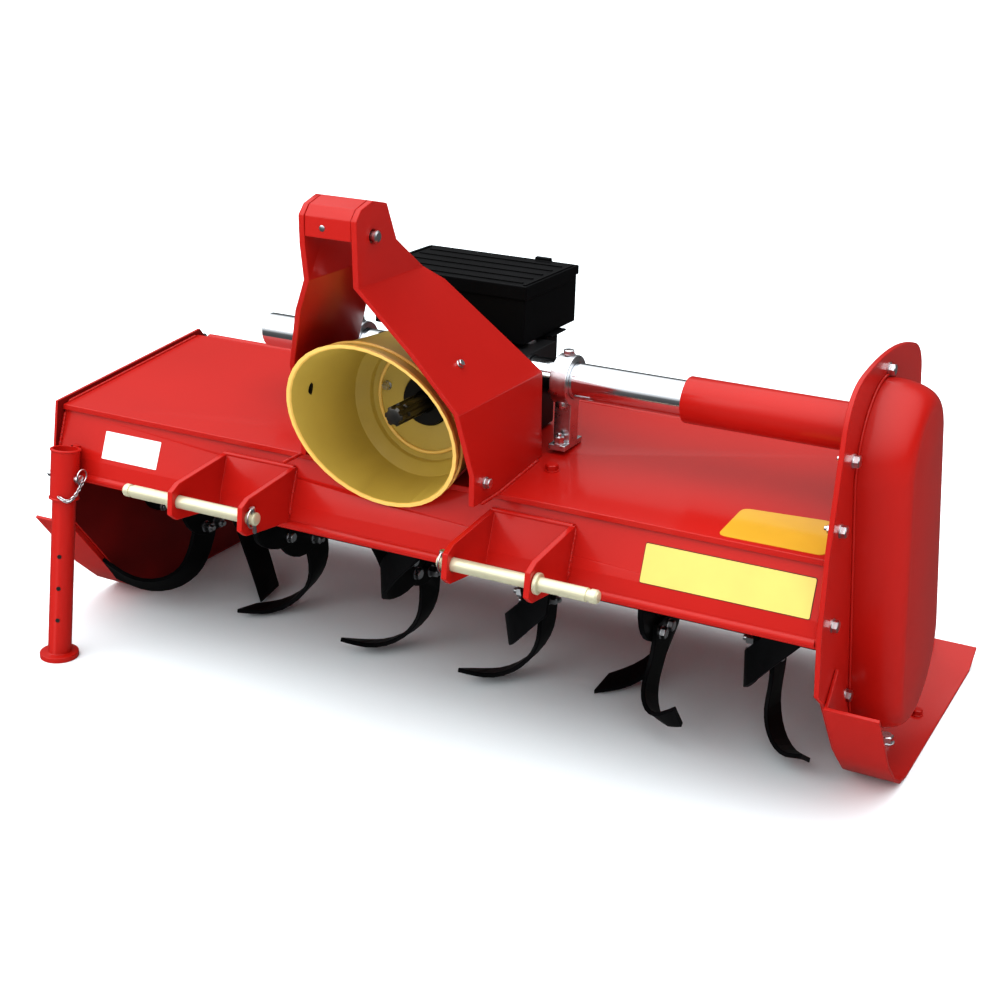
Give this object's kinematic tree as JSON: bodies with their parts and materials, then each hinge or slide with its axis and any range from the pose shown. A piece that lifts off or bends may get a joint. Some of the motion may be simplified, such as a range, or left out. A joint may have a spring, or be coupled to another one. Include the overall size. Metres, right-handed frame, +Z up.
{
  "type": "tractor-mounted rotavator",
  "caption": "Compact red tractor-mounted rotavator with side chain case, offset hitch mast, PTO guard, blade rotor, skids and parking stand.",
  "frame": {"origin": "centre of the bounding box, on the floor", "axes": "+X towards the chain case, +Y to the rear (away from the tractor), +Z up"},
  "size_m": [1.6142, 0.9342, 0.917],
  "materials": {
    "red_paint": "gloss",
    "black_paint": "satin",
    "black_iron": "satin",
    "dark_steel": "oiled",
    "chromed_beam": "polished",
    "plated_steel": "zinc plated",
    "yellow_plastic": "matte",
    "black_plastic": "matte"
  },
  "bodies": {
    "root": {"hood_deck": "red_paint", "left_end_plate": "red_paint", "right_side_plate": "red_paint", "left_skid": "red_paint", "right_skid": "red_paint", "chain_case_cover": "red_paint", "beam_tube": "chromed_beam", "beam_sleeve": "red_paint", "right_beam_clamp": "plated_steel", "left_beam_clamp": "plated_steel", "gearbox": "black_iron", "pto_guard": "yellow_plastic", "mast_left_plate": "red_paint", "mast_right_plate": "red_paint", "mast_cap": "red_paint", "top_link_pin": "plated_steel", "right_hitch_bracket": "red_paint", "left_hitch_bracket": "red_paint", "right_lower_pin": "plated_steel", "left_lower_pin": "plated_steel", "tool_box_pedestal": "black_plastic", "tool_box": "black_plastic", "stand_sleeve": "red_paint", "left_rotor_bearing": "black_paint", "tailboard_hinge_rod": "plated_steel", "tailboard_stay_bracket": "red_paint"},
    "rotor": {"rotor_tube": "black_paint", "blade_set_1": "black_paint", "blade_set_2": "black_paint", "blade_set_3": "black_paint", "blade_set_4": "black_paint", "blade_set_5": "black_paint", "blade_set_6": "black_paint"},
    "pto_shaft": {"pto_stub": "dark_steel"},
    "tool_box_lid": {"tool_box_lid": "black_plastic"},
    "stand_leg": {"stand_leg": "red_paint"},
    "tailboard": {"tailboard": "red_paint"},
    "stay_rod": {"tailboard_stay_rod": "plated_steel"},
    "stay_swivel": {"tailboard_stay_swivel": "plated_steel"}
  },
  "joints": [
    {"name": "rotor_spin", "type": "hinge", "parent": "root", "child": "rotor", "pos_m": [-0.0245, -0.01908, 0.224], "axis": [1, 0, 0], "continuous": true},
    {"name": "pto_spin", "type": "hinge", "parent": "root", "child": "pto_shaft", "pos_m": [-0.0245, -0.28108, 0.542], "axis": [0, 1, 0], "continuous": true},
    {"name": "tool_box_lid_hinge", "type": "hinge", "parent": "root", "child": "tool_box_lid", "pos_m": [-0.0385, 0.12492, 0.7183], "axis": [-1, 0, 0], "range_deg": [0, 100]},
    {"name": "stand_slide", "type": "slide", "parent": "root", "child": "stand_leg", "axis": [0, 0.1323, 0.9912], "range_m": [0, 0.27]},
    {"name": "tailboard_hinge", "type": "hinge", "parent": "root", "child": "tailboard", "pos_m": [-0.0245, 0.14692, 0.476], "axis": [1, 0, 0], "range_deg": [0, 42]},
    {"name": "stay_rod_eye", "type": "hinge", "parent": "tailboard", "child": "stay_rod", "pos_m": [-0.0645, 0.29742, 0.29176], "axis": [1, 0, 0], "range_deg": [-10.15, 2]},
    {"name": "stay_swivel_turn", "type": "hinge", "parent": "root", "child": "stay_swivel", "pos_m": [-0.0645, 0.16092, 0.562], "axis": [1, 0, 0], "range_deg": [-2, 35.85]}
  ],
  "couplings": [
    {"joint": "pto_spin", "follows": "rotor_spin", "ratio": 2.5},
    {"joint": "stay_rod_eye", "follows": "tailboard_hinge", "ratio": -0.194},
    {"joint": "stay_swivel_turn", "follows": "tailboard_hinge", "ratio": 0.806}
  ]
}
